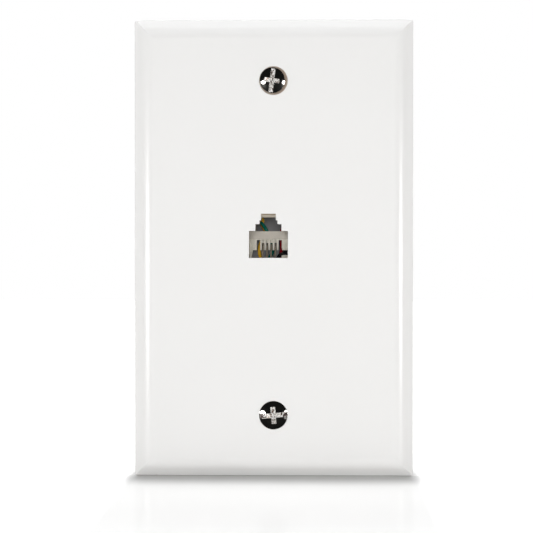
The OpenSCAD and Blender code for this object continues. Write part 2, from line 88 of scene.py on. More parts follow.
# %% [markdown]
# ## The camera
#
# The photograph was taken nearly straight on, from half a metre away and a little to the right. A camera could
# be placed by eye, but the plate's four corners fix the place, the aim and the lens together, so those numbers
# are used here.

# %% Place the camera
eye = Vector((10.3, -475.2, 0.6)) * MM
aim = Vector((-1.86, 0, -4.66)) * MM
bpy.ops.object.camera_add(location=eye)
camera = bpy.context.object
camera.name = "photo_camera"
camera.rotation_euler = (aim - eye).to_track_quat("-Z", "Y").to_euler()
camera.data.sensor_width = 36
camera.data.lens = 127.38
camera.data.clip_start = 0.01
camera.data.clip_end = 20
bpy.context.scene.camera = camera
bpy.context.scene.view_settings.view_transform = "Standard"
print("camera distance in mm:", round((aim - eye).length / MM, 1))

# %% [markdown]
# ## Small helpers for nodes
#
# A finish is a tree of nodes. Adding a node, setting its values and linking it takes several lines each time,
# so short helpers do it. Most of them make one node and give back its output, so that a mask reads like a
# formula.

# %% Add, join and feed
def add_node(tree, kind, values=None, **settings):
    made = tree.nodes.new(kind)
    for name, value in settings.items():
        setattr(made, name, value)
    for name, value in (values or {}).items():
        made.inputs[name].default_value = value
    return made


def join(tree, source, target):
    tree.links.new(source, target)


def feed(tree, term, socket):
    """Give a socket a number, a colour or another node's output."""
    if isinstance(term, (int, float)):
        socket.default_value = term
    elif isinstance(term, tuple):
        socket.default_value = term + (1.0,)
    else:
        join(tree, term, socket)


print("nodes can be added, joined and fed")


# %% Sums with nodes
def work_out(tree, operation, first, second=0.0):
    """A Math node. Each of the two terms is a number or another node's output."""
    made = add_node(tree, "ShaderNodeMath", operation=operation)
    for socket, term in zip(made.inputs, (first, second)):
        feed(tree, term, socket)
    return made.outputs[0]


def plus(tree, first, second):
    return work_out(tree, "ADD", first, second)


def minus(tree, first, second):
    return work_out(tree, "SUBTRACT", first, second)


def times(tree, first, *others):
    product = first
    for other in others:
        product = work_out(tree, "MULTIPLY", product, other)
    return product


def larger(tree, first, second):
    return work_out(tree, "MAXIMUM", first, second)


def absolute(tree, term):
    return work_out(tree, "ABSOLUTE", term)


def split(tree, vector):
    """The X, Y and Z of a vector."""
    made = add_node(tree, "ShaderNodeSeparateXYZ")
    join(tree, vector, made.inputs["Vector"])
    return [made.outputs[axis] for axis in ("X", "Y", "Z")]


def distance(tree, first, *others):
    """How long the straight way is that has these parts along the axes."""
    total = times(tree, first, first)
    for other in others:
        total = plus(tree, total, times(tree, other, other))
    return work_out(tree, "SQRT", total)


print("sums can be worked out in nodes")


# %% Ramps and blends
def stretch(tree, source, low, high, out_low, out_high, smooth=False):
    """A Map Range node that turns low..high into out_low..out_high."""
    limits = {"From Min": low, "From Max": high, "To Min": out_low, "To Max": out_high}
    made = add_node(tree, "ShaderNodeMapRange", limits)
    if smooth:
        made.interpolation_type = "SMOOTHSTEP"
    join(tree, source, made.inputs["Value"])
    return made.outputs["Result"]


def rise(tree, source, low, high, smooth=False):
    """0 below low and 1 above high."""
    return stretch(tree, source, low, high, 0.0, 1.0, smooth)


def fall(tree, source, low, high, smooth=False):
    """1 below low and 0 above high."""
    return stretch(tree, source, low, high, 1.0, 0.0, smooth)


def blend_values(tree, factor, first, second):
    made = add_node(tree, "ShaderNodeMix", data_type="FLOAT")
    for name, term in (("Factor", factor), ("A", first), ("B", second)):
        feed(tree, term, made.inputs[name])
    return made.outputs["Result"]


def blend_colours(tree, factor, first, second):
    made = add_node(tree, "ShaderNodeMix", data_type="RGBA")
    join(tree, factor, made.inputs["Factor"])
    for socket, colour in ((made.inputs[6], first), (made.inputs[7], second)):
        feed(tree, colour, socket)
    return made.outputs[2]


print("ramps and blends are ready")

# %% [markdown]
# ## The studio
#
# The photograph has a pure white background, a short soft shadow right in front of the plate's foot, a faint
# mirror image below it, white streaks down both sloping sides and nearly black reflections in the screws.
# White paper behind and on the floor, a soft light overhead, fills from the front and the sides, and a small
# bright panel on each side give that. The white behind is a matter of what a ray sees, so it is put in with
# the Light Path node and doesn't have to light the object.

# %% The world: white behind, dark in front for reflections
AMBIENT = 0.2
DARK_FRONT = 0.008
world = bpy.data.worlds.new("studio_world")
bpy.context.scene.world = world
world.use_nodes = True
sky = world.node_tree
sky.nodes.clear()
ray = add_node(sky, "ShaderNodeLightPath").outputs
direction = add_node(sky, "ShaderNodeTexCoord").outputs["Generated"]
behind = stretch(sky, split(sky, direction)[1], -0.05, 0.12, DARK_FRONT, 1.0, True)
mirrored = larger(sky, ray["Is Glossy Ray"], ray["Is Transmission Ray"])
away_from_camera = blend_values(sky, mirrored, AMBIENT, behind)
brightness = blend_values(sky, ray["Is Camera Ray"], away_from_camera, 1.0)
background = add_node(sky, "ShaderNodeBackground", {"Color": (1, 1, 1, 1)})
join(sky, brightness, background.inputs["Strength"])
world_output = add_node(sky, "ShaderNodeOutputWorld")
join(sky, background.outputs["Background"], world_output.inputs["Surface"])
print("ambient level:", AMBIENT)

# %% [markdown]
# The floor is pale paper, and the object stands on it. It could be lit up to white, but then the soft shadow
# would be lost, so it glows instead, and the glow fades out around the plate's foot: the shadow there is partly
# cast by the lamps and partly painted by the missing glow. How far a point is from the foot is worked out
# first.
# A step sideways counts several times, so that the painted shadow stays short there.

# %% The floor's sheet
FOOT = cad_box[0][2]
bpy.ops.object.select_all(action="DESELECT")
bpy.ops.mesh.primitive_plane_add(size=3.0, location=(0, 0, 0))
floor = bpy.context.object
floor.name = "paper_floor"
for corner in floor.data.vertices:
    corner.co.z = FOOT - 0.02 * MM
paper = bpy.data.materials.new("pale_paper")
paper.use_nodes = True
tree = paper.node_tree
sheet = tree.nodes["Principled BSDF"].inputs
print("floor level in mm:", round(floor.data.vertices[0].co.z / MM, 2))

# %% How far a point of the floor is from the foot
HALF_WIDTH = 34.0 * MM
HALF_DEPTH = 2.8 * MM
SIDEWAYS = 5.0
place = add_node(tree, "ShaderNodeTexCoord").outputs
x, y, _ = split(tree, place["Object"])
beside = times(tree, minus(tree, absolute(tree, x), HALF_WIDTH), SIDEWAYS)
before = minus(tree, absolute(tree, plus(tree, y, HALF_DEPTH)), HALF_DEPTH)
from_foot = distance(tree, larger(tree, beside, 0.0), larger(tree, before, 0.0))
behind = rise(tree, y, 0.0, 14.0 * MM, True)
print("foot in mm:", round(2 * HALF_WIDTH / MM, 1), "by", round(2 * HALF_DEPTH / MM, 1))

# %% [markdown]
# Right in front of the foot the paper is a little glossy, so that the plate shows in it as a faint mirror
# image. It gets duller and less glossy with distance and towards the sides, where the picture is plain white.

# %% The faint mirror in front
MIRROR_END = 170.0 * MM
in_front = fall(tree, y, -5.0 * MM, 1.0 * MM, True)
between_sides = fall(tree, beside, 16.0 * MM, 110.0 * MM, True)
close_by = fall(tree, from_foot, 60.0 * MM, MIRROR_END, True)
glossy_part = times(tree, in_front, between_sides, close_by)
duller = times(tree, minus(tree, 1.0, glossy_part), 0.4)
softer = stretch(tree, from_foot, 10.0 * MM, 100.0 * MM, 0.04, 0.2)
join(tree, plus(tree, duller, softer), sheet["Roughness"])
join(tree, stretch(tree, glossy_part, 0.0, 1.0, 0.1, 0.01), sheet["Specular IOR Level"])
print("the mirror ends in front by mm:", round(MIRROR_END / MM))

# %% [markdown]
# What the camera sees of the paper is white that grows with distance, a little less of it where the mirror
# is, and an extra glow beside the plate. A reflection sees it glow behind the object, as the white background
# does, and in front sees it painted black, standing in for a black card, which is how bright metal is
# photographed. Dull surfaces get a slightly warm glow from it, a painted bounce light that is weaker near the
# foot.

# %% What each kind of ray sees
GLOW = 0.4
FAR_GLOW = 1.0
MIRROR_DROP = 0.165
SHADOW_LENGTH = 19.0 * MM
BOUNCE_GLOW = 1.3
WHITE = (1.0, 1.0, 1.0)
WARM_WHITE = (1.0, 0.965, 0.93)
PAPER = (0.62, 0.62, 0.615)
PAINTED_BLACK_REFLECTION = (0.015, 0.015, 0.015)
ray = add_node(tree, "ShaderNodeLightPath").outputs
mirrored = larger(tree, ray["Is Glossy Ray"], ray["Is Transmission Ray"])
whiteness = stretch(tree, from_foot, 60.0 * MM, 1500.0 * MM, GLOW + 0.12, FAR_GLOW)
whiteness = minus(tree, whiteness, times(tree, glossy_part, MIRROR_DROP))
# Painted light: beside the plate an extra glow paints over the lamps' shadow.
whiteness = plus(tree, whiteness, stretch(tree, beside, 3.0 * MM, 20.0 * MM, 0.0, 0.35, True))
seen_by_camera = times(tree, ray["Is Camera Ray"], whiteness)
seen_in_mirror = times(tree, mirrored, behind, GLOW)
# Painted shadow: the glow is held back near the foot, deepening the lamps' shadow there.
foot_shadow_fade = rise(tree, from_foot, 0.0, SHADOW_LENGTH, True)
seen = times(tree, larger(tree, seen_by_camera, seen_in_mirror), foot_shadow_fade)
# Painted bounce light: dull surfaces see the paper glow, a little warm, and less near the foot.
bounce_glow_fade = stretch(tree, from_foot, 0.0, 5.0 * MM, 0.3, 1.0, True)
glow_on_dull_surfaces = times(tree, ray["Is Diffuse Ray"], bounce_glow_fade, BOUNCE_GLOW, GLOW)
join(tree, larger(tree, seen, glow_on_dull_surfaces), sheet["Emission Strength"])
join(tree, blend_colours(tree, ray["Is Diffuse Ray"], WHITE, WARM_WHITE), sheet["Emission Color"])
# Painted reflection: in reflections the paper in front is black, standing in for a black card.
painted_dark_reflection = times(tree, mirrored, minus(tree, 1.0, behind))
join(tree, blend_colours(tree, painted_dark_reflection, PAPER, PAINTED_BLACK_REFLECTION), sheet["Base Color"])
floor.data.materials.append(paper)
print("glow:", GLOW, "light sent back:", BOUNCE_GLOW)

# %% [markdown]
# The softbox overhead gives the shadow at the foot, and the three fills the even white of the face. Mirrored in
# the gloss they would be bright patches, so reflections don't see them. The two small panels are the other way
# round: only reflections see them, as white streaks on the bevels and white spots on the screws.


# %% The lights
def panel(name, place, target, width, height, radiance, shape="RECTANGLE", in_gloss=True, in_diffuse=True):
    """A soft flat light. Places and sizes are in millimetres."""
    bpy.ops.object.light_add(type="AREA", location=Vector(place) * MM)
    lamp = bpy.context.object
    lamp.name = name
    lamp.data.shape = shape
    lamp.data.size = width * MM
    lamp.data.size_y = height * MM
    lamp.data.energy = radiance * math.pi * width * MM * height * MM
    lamp.rotation_euler = (Vector(target) - Vector(place)).to_track_quat("-Z", "Y").to_euler()
    lamp.visible_camera = False
    lamp.visible_glossy = in_gloss
    lamp.visible_diffuse = in_diffuse
    print(name, "power in W:", round(lamp.data.energy, 3))


panel("overhead_softbox", (0, 130, 1200), (0, 30, -57), 460, 280, 21.3, in_gloss=False)
panel("front_fill", (0, -1500, 86), (0, 0, 0), 420, 290, 20.8, in_gloss=False)
panel("left_fill", (-1200, -500, 0), (-33, 0, 0), 500, 900, 3.4, in_gloss=False)
panel("right_fill", (1200, -500, 0), (33, 0, 0), 500, 900, 2.9, in_gloss=False)
panel("left_panel", (-234, -187, -9), (-33, -5, -9), 130, 74, 7.8, "ELLIPSE", in_diffuse=False)
panel("right_panel", (257, -157, -9), (33, -5, -9), 100, 74, 9.6, "ELLIPSE", in_diffuse=False)

# %% [markdown]
# ## Shared effects
#
# Several finishes need the same effect, such as the faint skin of a moulded part or the fine rings of a
# turned screw head. Each is built once as a node group with named inputs and outputs, and placed in every
# material with its own values. A group gives only values; the shader stays in the material.

# %% A helper that opens a group
def open_group(name, inputs, outputs):
    group = bpy.data.node_groups.new(name, "ShaderNodeTree")
    for socket_name, kind, default in inputs:
        socket = group.interface.new_socket(name=socket_name, in_out="INPUT", socket_type=kind)
        if default is not None:
            socket.default_value = default
    for socket_name in outputs:
        group.interface.new_socket(name=socket_name, in_out="OUTPUT", socket_type="NodeSocketFloat")
    entry = add_node(group, "NodeGroupInput")
    leave = add_node(group, "NodeGroupOutput")
    return group, entry.outputs, leave.inputs


def noise(tree, position, scale, detail=2.0):
    made = add_node(tree, "ShaderNodeTexNoise", {"Detail": detail, "Roughness": 0.5})
    join(tree, position, made.inputs["Vector"])
    feed(tree, scale, made.inputs["Scale"])
    return made.outputs["Fac"]


POSITION = ("Position", "NodeSocketVector", None)
print("groups can be opened")

# %% Moulded skin: a fine grain over slow, wide waves
skin_group, given, out = open_group(
    "moulded_skin", [POSITION, ("Grain", "NodeSocketFloat", 900.0)], ["Height", "Tone"])
fine = noise(skin_group, given["Position"], given["Grain"], 3.0)
wide = noise(skin_group, given["Position"], times(skin_group, given["Grain"], 0.06), 1.0)
join(skin_group, plus(skin_group, times(skin_group, fine, 0.35), wide), out["Height"])
join(skin_group, rise(skin_group, wide, 0.3, 0.7), out["Tone"])
print("group:", skin_group.name)

# %% Turned rings: fine grooves around an axis along Y, broken up so that they don't look drawn
rings_group, given, out = open_group(
    "turned_rings", [POSITION, ("Rings", "NodeSocketFloat", 30000.0)], ["Height", "Tone"])
x, _, z = split(rings_group, given["Position"])
radius = distance(rings_group, x, z)
wave = work_out(rings_group, "SINE", times(rings_group, radius, given["Rings"]))
uneven = noise(rings_group, given["Position"], 700.0)
join(rings_group, times(rings_group, wave, uneven), out["Height"])
join(rings_group, rise(rings_group, uneven, 0.3, 0.7), out["Tone"])
print("group:", rings_group.name)

# %% Below the dome: finds the sunk slot and cross of a screw whose head is part of a ball
recess_group, given, out = open_group(
    "below_the_dome", [POSITION, ("Ball", "NodeSocketFloat", 6.28 * MM)], ["Mask"])
from_middle = distance(recess_group, *split(recess_group, given["Position"]))
depth = minus(recess_group, given["Ball"], from_middle)
join(recess_group, rise(recess_group, depth, 0.03 * MM, 0.25 * MM, True), out["Mask"])
print("group:", recess_group.name)

# %% Pin marks: the shallow round prints that ejector pins leave on the hidden side of a moulding
pins_group, given, out = open_group(
    "pin_marks", [POSITION, ("Radius", "NodeSocketFloat", 2.2 * MM)], ["Height"])
x, _, z = split(pins_group, given["Position"])
offsets = []
for way, spacing in ((x, 21.0 * MM), (z, 26.0 * MM)):
    wrapped = add_node(pins_group, "ShaderNodeMath", operation="WRAP")
    for socket, term in zip(wrapped.inputs, (plus(pins_group, way, spacing / 2), spacing / 2, -spacing / 2)):
        feed(pins_group, term, socket)
    offsets.append(wrapped.outputs[0])
inside = minus(pins_group, given["Radius"], distance(pins_group, *offsets))
join(pins_group, rise(pins_group, inside, -0.08 * MM, 0.08 * MM, True), out["Height"])
print("group:", pins_group.name)


# %% Helpers for a finish
def start_finish(name, metallic=0.0, ior=1.5):
    material = bpy.data.materials.new(name)
    material.use_nodes = True
    tree = material.node_tree
    shader = tree.nodes["Principled BSDF"].inputs
    shader["Metallic"].default_value = metallic
    shader["IOR"].default_value = ior
    place = add_node(tree, "ShaderNodeTexCoord").outputs
    return material, tree, shader, place


def use_group(tree, group, position, **values):
    made = add_node(tree, "ShaderNodeGroup", node_tree=group)
    join(tree, position, made.inputs["Position"])
    for name, value in values.items():
        made.inputs[name].default_value = value
    return made.outputs


def uneven_gloss(tree, skin, smoothest, roughest):
    """Roughness that follows the height of the moulded skin."""
    return stretch(tree, skin["Height"], 0.4, 0.9, smoothest, roughest)


def emboss(tree, shader, height, depth, strength, edge=None):
    """A Bump node. With an edge radius, a Bevel node also rounds the light on the sharp edges."""
    made = add_node(tree, "ShaderNodeBump", {"Strength": strength, "Distance": depth})
    join(tree, height, made.inputs["Height"])
    if edge is not None:
        rounding = add_node(tree, "ShaderNodeBevel", {"Radius": edge}, samples=4)
        join(tree, rounding.outputs["Normal"], made.inputs["Normal"])
    join(tree, made.outputs["Normal"], shader["Normal"])


print("finishes can be started")

# %% [markdown]
# ## The white plate
#
# The plate is a gloss moulding in white styrene plastic. Its front is polished, with the faintest waviness;
# its hidden side is duller and carries the round prints of the ejector pins. One material covers both: the
# direction that a surface faces says which side it is. The two countersinks are painted a tan tone, which
# stands in for shade and the brownish reflection of the screw heads, as around the top screw. A second
# material could do that, but a mask around each screw's axis is enough.

# %% The mounting screws' axes
top_low, top_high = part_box("mounting_screw_top")
SCREW_HEIGHT = (top_low.z + top_high.z) / 2
FACE = -5.6 * MM


def from_screw_axis(tree, x, z):
    """How far a point is from the axis of the nearer mounting screw."""
    return distance(tree, x, minus(tree, absolute(tree, z), SCREW_HEIGHT))


print("screws above and below the middle by mm:", round(SCREW_HEIGHT / MM, 2))

# %% Plate finish
plate_finish, tree, shader, place = start_finish("gloss_white_moulding", ior=1.53)
x, y, z = split(tree, place["Object"])
_, facing_back, _ = split(tree, place["Normal"])
turned_back = rise(tree, facing_back, 0.2, 0.5)
deep_inside = rise(tree, y, -3.6 * MM, -3.3 * MM)
hidden = times(tree, turned_back, deep_inside)
skin = use_group(tree, skin_group, place["Object"], Grain=650.0)
pins = use_group(tree, pins_group, place["Object"])
front_white = blend_colours(tree, skin["Tone"], (0.862, 0.863, 0.858), (0.872, 0.872, 0.868))
white = blend_colours(tree, hidden, front_white, (0.835, 0.836, 0.83))
# Painted shade and painted reflection: the countersinks get a tan tone in place of shade and the screws' brown.
in_hole = fall(tree, from_screw_axis(tree, x, z), 3.57 * MM, 3.63 * MM)
below_face = rise(tree, y, FACE, FACE + 0.1 * MM)
above_cone_end = fall(tree, y, -3.3 * MM, -3.0 * MM)
countersink_painted_shade = times(tree, in_hole, below_face, above_cone_end)
join(tree, blend_colours(tree, countersink_painted_shade, white, (0.52, 0.425, 0.35)), shader["Base Color"])
polish = uneven_gloss(tree, skin, 0.23, 0.27)
join(tree, blend_values(tree, hidden, polish, 0.46), shader["Roughness"])
prints = times(tree, pins["Height"], hidden, 0.6)
relief = plus(tree, times(tree, skin["Height"], 0.05), prints)
emboss(tree, shader, relief, 0.05 * MM, 0.8, edge=0.14 * MM)
print("finish:", plate_finish.name)

# %% [markdown]
# ## The jack insert
#
# The insert is moulded in a beige-grey engineering nylon, with a satin skin and slightly cloudy colour. The
# same moulded skin is used with a finer grain and more depth. Two places get painted shade by their place: the
# bar above the comb's teeth, and the lip at the top of the keyway, which darkens into a painted shadow line
# along its top edge.

# %% Insert finish
insert_finish, tree, shader, place = start_finish("beige_grey_nylon", ior=1.53)
_, deep, high = split(tree, place["Object"])
skin = use_group(tree, skin_group, place["Object"], Grain=2600.0)
beige = blend_colours(tree, skin["Tone"], (0.76, 0.725, 0.64), (0.82, 0.79, 0.705))
# Painted shade on the bar above the comb's teeth.
bar_front = rise(tree, deep, 3.4 * MM, 3.7 * MM)
bar_back = fall(tree, deep, 4.1 * MM, 4.3 * MM)
bar_shade_mask = times(tree, bar_front, bar_back, rise(tree, high, 1.9 * MM, 2.0 * MM))
beige = blend_colours(tree, bar_shade_mask, beige, (0.66, 0.62, 0.56))
# Painted shade on the lip at the top of the keyway, with a darker painted shadow line along its top edge.
lip_back = fall(tree, deep, -3.3 * MM, -3.1 * MM)
lip_shade_mask = times(tree, lip_back, rise(tree, high, 7.5 * MM, 7.6 * MM))
lip_top_shadow = rise(tree, high, 8.2 * MM, 8.45 * MM, True)
painted_lip_shade = blend_colours(tree, lip_top_shadow, (0.46, 0.41, 0.34), (0.25, 0.20, 0.12))
join(tree, blend_colours(tree, lip_shade_mask, beige, painted_lip_shade), shader["Base Color"])
join(tree, uneven_gloss(tree, skin, 0.36, 0.5), shader["Roughness"])
emboss(tree, shader, skin["Height"], 0.03 * MM, 0.5, edge=0.07 * MM)
print("finish:", insert_finish.name)

# %% [markdown]
# ## The rear cover
#
# The cover is a snap-on cap in a grey that is partly painted shade: through the jack's mouth it shows as the
# dark back of the cavity. Its face has the spark-eroded texture of a plain technical moulding, so its grain
# is finer still and its gloss low.

# %% Cover finish
cover_finish, tree, shader, place = start_finish("grey_moulding_and_cavity_shade")
skin = use_group(tree, skin_group, place["Object"], Grain=3800.0)
# Partly painted shade: this grey also darkens the back of the cavity seen through the jack's mouth.
join(tree, blend_colours(tree, skin["Tone"], (0.27, 0.27, 0.275), (0.30, 0.30, 0.305)), shader["Base Color"])
join(tree, uneven_gloss(tree, skin, 0.45, 0.65), shader["Roughness"])
emboss(tree, shader, skin["Height"], 0.05 * MM, 0.8, edge=0.12 * MM)
print("finish:", cover_finish.name)

# %% [markdown]
# ## Metals
#
# There are three here: gold-flashed spring wire in the jack, its gold dulled to a darker brown-grey as
# painted shade for its place deep in the jack, tin on the lugs and crimp sleeves, and brass for the terminals.
# A metal is mostly its reflection, so what makes each one real is how rough it is and how that changes:
# drawing lines along the wire, cloudy tin, and turned rings on the screw heads. The terminal screws' slots
# are painted darker, as shade in their depth.

# %% Contact wire
wire_finish, tree, shader, place = start_finish("gold_wire_and_painted_shade", metallic=1.0)
lines = add_node(tree, "ShaderNodeMapping")
lines.inputs["Scale"].default_value = (9000.0, 500.0, 9000.0)
join(tree, place["Object"], lines.inputs["Vector"])
drawn = noise(tree, lines.outputs["Vector"], 1.0, 3.0)
# Painted shade: the gold is dulled to a darker brown-grey for the wire's place deep in the jack.
join(tree, blend_colours(tree, drawn, (0.36, 0.32, 0.28), (0.54, 0.49, 0.43)), shader["Base Color"])
join(tree, stretch(tree, drawn, 0.3, 0.7, 0.14, 0.3), shader["Roughness"])
emboss(tree, shader, drawn, 0.008 * MM, 0.6)
print("finish:", wire_finish.name)

# %% Tinned lugs and sleeves
tin_finish, tree, shader, place = start_finish("cloudy_tin_plate", metallic=1.0)
skin = use_group(tree, skin_group, place["Object"], Grain=5200.0)
join(tree, blend_colours(tree, skin["Tone"], (0.60, 0.59, 0.57), (0.74, 0.735, 0.72)), shader["Base Color"])
join(tree, uneven_gloss(tree, skin, 0.24, 0.44), shader["Roughness"])
emboss(tree, shader, skin["Height"], 0.015 * MM, 0.6, edge=0.06 * MM)
print("finish:", tin_finish.name)


# %% Brass, with rings around each terminal's own axis
def in_terminal_slot(tree, centred, low, high):
    """Finds the slot: inside the head's rim and just below its top."""
    x, y, z = split(tree, centred)
    rim = (high.x - low.x) / 2
    within = fall(tree, distance(tree, x, z), rim - 0.25 * MM, rim - 0.1 * MM)
    below_top = fall(tree, y, high.y - 0.35 * MM, high.y - 0.08 * MM)
    above_floor = rise(tree, y, high.y - 1.3 * MM, high.y - 1.2 * MM)
    return times(tree, within, below_top, above_floor)


def brass_finish(name, node):
    low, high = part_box(node)
    material, tree, shader, place = start_finish(name, metallic=1.0)
    centre = add_node(tree, "ShaderNodeMapping")
    centre.inputs["Location"].default_value = (-(low.x + high.x) / 2, 0, -(low.z + high.z) / 2)
    join(tree, place["Object"], centre.inputs["Vector"])
    centred = centre.outputs["Vector"]
    rings = use_group(tree, rings_group, centred, Rings=42000.0)
    skin = use_group(tree, skin_group, place["Object"], Grain=1500.0)
    tarnish = blend_colours(tree, skin["Tone"], (0.55, 0.38, 0.16), (0.62, 0.45, 0.20))
    turned = blend_colours(tree, rings["Tone"], tarnish, (0.66, 0.49, 0.23))
    # Painted shade: the slot is painted dark brown, as shade in its depth.
    slot_shade_mask = in_terminal_slot(tree, centred, low, high)
    join(tree, blend_colours(tree, slot_shade_mask, turned, (0.20, 0.13, 0.06)), shader["Base Color"])
    join(tree, stretch(tree, rings["Tone"], 0.0, 1.0, 0.26, 0.36), shader["Roughness"])
    emboss(tree, shader, rings["Height"], 0.004 * MM, 0.5, edge=0.08 * MM)
    return material


CIRCUITS = ("yellow", "green", "red", "black")
brass = {}
for circuit in CIRCUITS:
    brass[circuit] = brass_finish("terminal_brass_" + circuit, "terminal_screw_" + circuit)
print("brass finishes:", len(brass))

# %% [markdown]
# ## Insulation
#
# The leads have soft coloured insulation with a mild gloss and slightly cloudy colour. One recipe makes all
# four colours; each gets its own two tones.

# %% Insulation finishes
INSULATION = {
    "yellow": ((0.88, 0.48, 0.02), (0.94, 0.55, 0.05)),
    "green": ((0.0, 0.15, 0.105), (0.01, 0.21, 0.15)),
    "red": ((0.27, 0.008, 0.015), (0.36, 0.016, 0.025)),
    "black": ((0.010, 0.010, 0.012), (0.022, 0.022, 0.024)),
}


def insulation_finish(circuit):
    dark, light = INSULATION[circuit]
    material, tree, shader, place = start_finish("soft_insulation_" + circuit, ior=1.52)
    skin = use_group(tree, skin_group, place["Object"], Grain=2400.0)
    join(tree, blend_colours(tree, skin["Tone"], dark, light), shader["Base Color"])
    join(tree, uneven_gloss(tree, skin, 0.18, 0.3), shader["Roughness"])
    emboss(tree, shader, skin["Height"], 0.02 * MM, 0.5)
    return material


insulation = {circuit: insulation_finish(circuit) for circuit in CIRCUITS}
print("insulation finishes:", sorted(insulation))

# %% [markdown]
# ## Nickel screws
#
# The two mounting screws are bright nickel, so they mirror the dark front of the studio and the two side
# panels. The skin of a plated head is a little wavy. The slot and the cross are rougher, with brown specks
# where the plating is thin, and on the bottom screw the slot's two ends are painted darker, as shade. The
# recess is found by its depth below the ball that the head is part of. The shank is duller, and painted dark
# in the roots of its thread, as shade, with lighter crests.

# %% Nickel finish
HEAD_RADIUS = 3.55 * MM
DOME_HEIGHT = 1.1 * MM
BALL = (HEAD_RADIUS ** 2 + DOME_HEIGHT ** 2) / (2 * DOME_HEIGHT)


def thread_root_shade(tree, y, from_axis):
    """Painted shade: dark in the thread's roots, brighter on its crests and at the tip."""
    crest = rise(tree, from_axis, 1.38 * MM, 1.62 * MM)
    tip = rise(tree, y, 12.6 * MM, 12.8 * MM)
    return blend_colours(tree, larger(tree, crest, tip), (0.10, 0.095, 0.09), (0.56, 0.54, 0.51))


def recess_tones(tree, specks, from_axis, end_shade):
    """Brown specks in the plating, and painted shade, dark brown, towards the slot's two ends."""
    sound = rise(tree, specks, 0.37, 0.5)
    plating = blend_colours(tree, sound, (0.30, 0.21, 0.16), (0.95, 0.94, 0.92))
    painted_end_shade = stretch(tree, from_axis, 2.3 * MM, 2.9 * MM, 0.0, end_shade)
    return blend_colours(tree, painted_end_shade, plating, (0.10, 0.055, 0.05))


def nickel_finish(name, middle, ball, end_shade):
    """Bright nickel for a head whose dome is part of a ball of this radius around this middle."""
    material, tree, shader, place = start_finish(name, metallic=1.0)
    centre = add_node(tree, "ShaderNodeMapping")
    centre.inputs["Location"].default_value = -middle
    join(tree, place["Object"], centre.inputs["Vector"])
    x, y, z = split(tree, place["Object"])
    from_axis = from_screw_axis(tree, x, z)
    on_head = fall(tree, y, -4.2 * MM, -3.9 * MM)
    below_dome = use_group(tree, recess_group, centre.outputs["Vector"], Ball=ball)["Mask"]
    in_recess = times(tree, below_dome, on_head)
    skin = use_group(tree, skin_group, place["Object"], Grain=1100.0)
    bright = blend_colours(tree, skin["Tone"], (0.74, 0.72, 0.68), (0.80, 0.78, 0.74))
    outside = blend_colours(tree, on_head, thread_root_shade(tree, y, from_axis), bright)
    specks = noise(tree, place["Object"], 2600.0)
    recess = recess_tones(tree, specks, from_axis, end_shade)
    join(tree, blend_colours(tree, in_recess, outside, recess), shader["Base Color"])
    thin = times(tree, in_recess, stretch(tree, specks, 0.4, 0.52, 0.2, 1.0))
    join(tree, minus(tree, 1.0, thin), shader["Metallic"])
    duller_shank = stretch(tree, on_head, 0.0, 1.0, 0.14, 0.0)
    polish = plus(tree, uneven_gloss(tree, skin, 0.06, 0.12), duller_shank)
    join(tree, blend_values(tree, in_recess, polish, 0.2), shader["Roughness"])
    hollows = times(tree, specks, in_recess, 14.0)
    emboss(tree, shader, plus(tree, skin["Height"], hollows), 0.02 * MM, 0.6, edge=0.1 * MM)
    return material


print("ball radius in mm:", round(BALL / MM, 2))

# %% [markdown]
# ## Helpers for modelling
#
# An operator acts on everything that is selected, and the loaded nodes are selected, so each step starts by
# selecting only its own object. A CAD node is loose triangles; a working copy of it is merged first.

# %% Selecting and copying
WELD = 0.002 * MM


def select_only(thing):
    bpy.ops.object.select_all(action="DESELECT")
    thing.select_set(True)
    bpy.context.view_layer.objects.active = thing


def merged_copy(node, name):
    copy = frame["nodes"][node].copy()
    copy.data = copy.data.copy()
    copy.parent = None
    copy.name = name
    copy.data.name = name
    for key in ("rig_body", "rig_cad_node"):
        if key in copy:
            del copy[key]
    bpy.context.scene.collection.objects.link(copy)
    select_only(copy)
    if copy.data.has_custom_normals:
        bpy.ops.mesh.customdata_custom_splitnormals_clear()
    bpy.ops.object.mode_set(mode="EDIT")
    bpy.ops.mesh.select_all(action="SELECT")
    bpy.ops.mesh.remove_doubles(threshold=WELD)
    bpy.ops.object.mode_set(mode="OBJECT")
    return copy


def dress(piece, finish):
    """Give a piece one material."""
    piece.data.materials.clear()
    piece.data.materials.append(finish)


print("modelling helpers are ready")

# %% [markdown]
# ## Round leads and contact wires
#
# In the CAD the leads are eight-sided and the contact wires twelve-sided, which is enough for their shape.
# Here they should be round. Each is copied, its triangles are paired into quads, and a Subdivision Surface
# modifier rounds the section and smooths the bends, without leaving the outline that the CAD gives. The yellow
# lead's bend in the keyway is also drawn a little sideways, because the photograph shows it behind the green.

# %% The bend that is drawn sideways, in millimetres
BEND_LEFT = -5
BEND_FRONT = 9
BEND_FOOT = 2.6
BEND_RISE = 2.6
BEND_TOP = 7.1
BEND_FALL = 0.9
TUCK = -0.85


def tuck_behind(piece, sideways):
    """Draw the lead's bend in the keyway sideways, so that it passes behind its neighbour."""
    for corner in piece.data.vertices:
        x, y, z = corner.co / MM
        if x > BEND_LEFT and y > BEND_FRONT:
            rising = min(max((z - BEND_FOOT) / BEND_RISE, 0), 1)
            falling = min(max((BEND_TOP - z) / BEND_FALL, 0), 1)
            corner.co.x += sideways * rising * falling * MM


print("the bend moves by mm:", TUCK)


